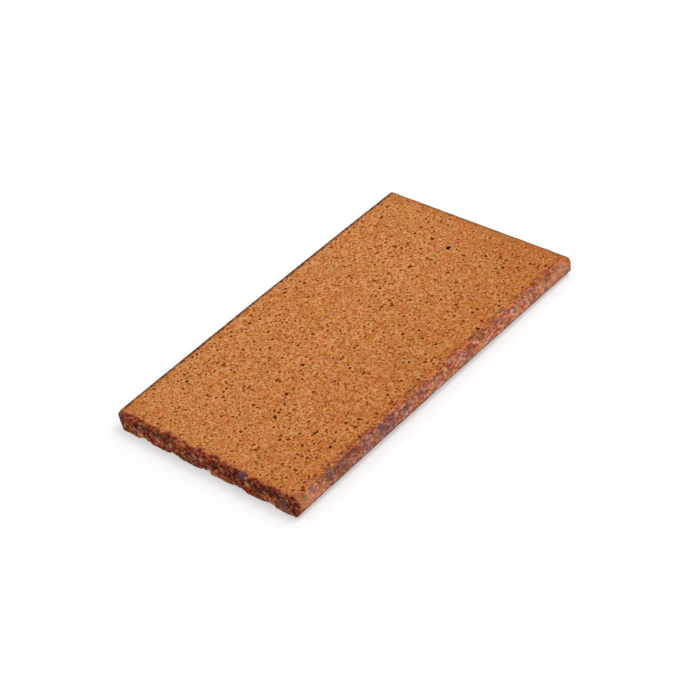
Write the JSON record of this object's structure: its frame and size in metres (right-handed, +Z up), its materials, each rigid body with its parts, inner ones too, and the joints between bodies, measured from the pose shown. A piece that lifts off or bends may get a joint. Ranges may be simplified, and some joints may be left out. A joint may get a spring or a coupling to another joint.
{
  "type": "exterior floor tile",
  "caption": "Rectangular exterior floor tile of extruded fired clay, with rounded long edges, square-cut ends and shallow keying grooves along its bed face.",
  "frame": {"origin": "middle of the bed face, at the centre of the bounding box's bottom", "axes": "+X along the tile and its extrusion, +Y across it, +Z up to the walking face"},
  "size_m": [0.245, 0.14, 0.013],
  "materials": {
    "fired_clay": "matt ochre-tan fired clay with dark specks; brick-red sides, darker torn ends"
  },
  "bodies": {
    "root": {"floor_tile": "fired_clay"}
  },
  "joints": []
}
